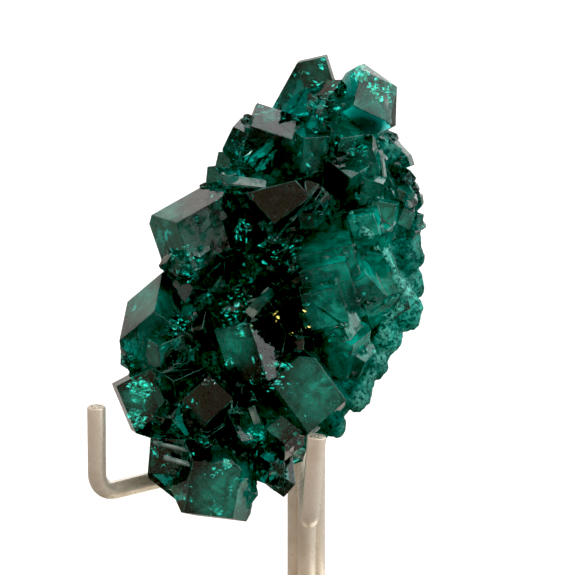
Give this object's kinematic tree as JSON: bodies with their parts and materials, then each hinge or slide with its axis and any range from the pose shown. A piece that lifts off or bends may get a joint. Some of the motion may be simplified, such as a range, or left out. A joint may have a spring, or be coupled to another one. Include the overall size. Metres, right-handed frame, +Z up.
{
  "type": "mineral specimen on a stand",
  "caption": "Dioptase: a cluster of dark green crystals on turquoise host rock, held upright by a stand of three bent metal rods in a round foot.",
  "frame": {"origin": "middle of the underside of the stand's round foot, on the table", "axes": "+Z up, -Y towards the viewer and the ends of the two hooked arms, +X to the viewer's right"},
  "size_m": [0.0458, 0.0474, 0.075],
  "materials": {
    "dioptase": "vitreous, dark emerald green, transparent at thin edges",
    "host_rock": "matt, granular, turquoise crust",
    "rod_metal": "bright warm nickel, drawn rod",
    "foot_metal": "turned, satin warm nickel"
  },
  "bodies": {
    "root": {"dioptase_crystals": "dioptase", "matrix": "host_rock", "right_arm_rod": "rod_metal", "left_arm_rod": "rod_metal", "back_rest_rod": "rod_metal", "stand_base": "foot_metal"}
  },
  "joints": []
}
